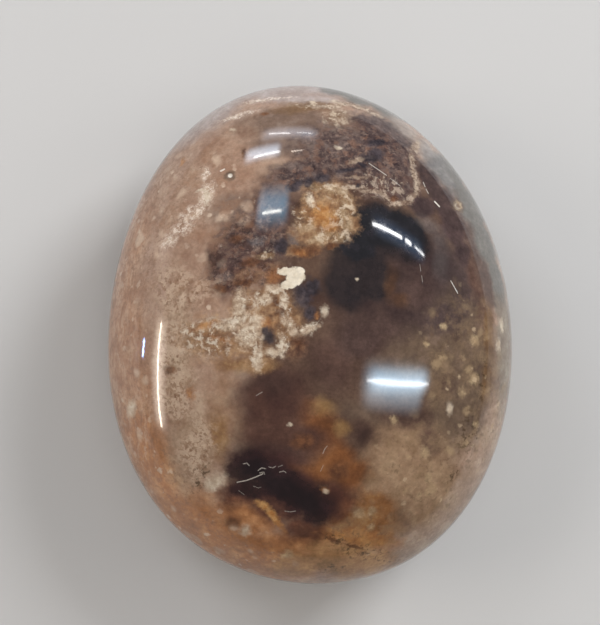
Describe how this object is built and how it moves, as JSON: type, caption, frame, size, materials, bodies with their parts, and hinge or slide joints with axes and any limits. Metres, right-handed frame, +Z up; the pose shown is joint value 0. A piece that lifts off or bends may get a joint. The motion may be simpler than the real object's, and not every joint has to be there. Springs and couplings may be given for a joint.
{
  "type": "ocean jasper palm stone",
  "caption": "Polished hand-sized pebble of speckled jasper, an uneven oval domed above and below, resting on a small flat spot.",
  "frame": {"origin": "on the flat spot that the stone rests on, under the middle of its outline", "axes": "+Z up through the crown, +Y along the stone's length, +X across its width"},
  "size_m": [0.0526, 0.065, 0.03],
  "materials": {
    "polished_jasper": "polished"
  },
  "bodies": {
    "root": {"palm_stone": "polished_jasper"}
  },
  "joints": []
}
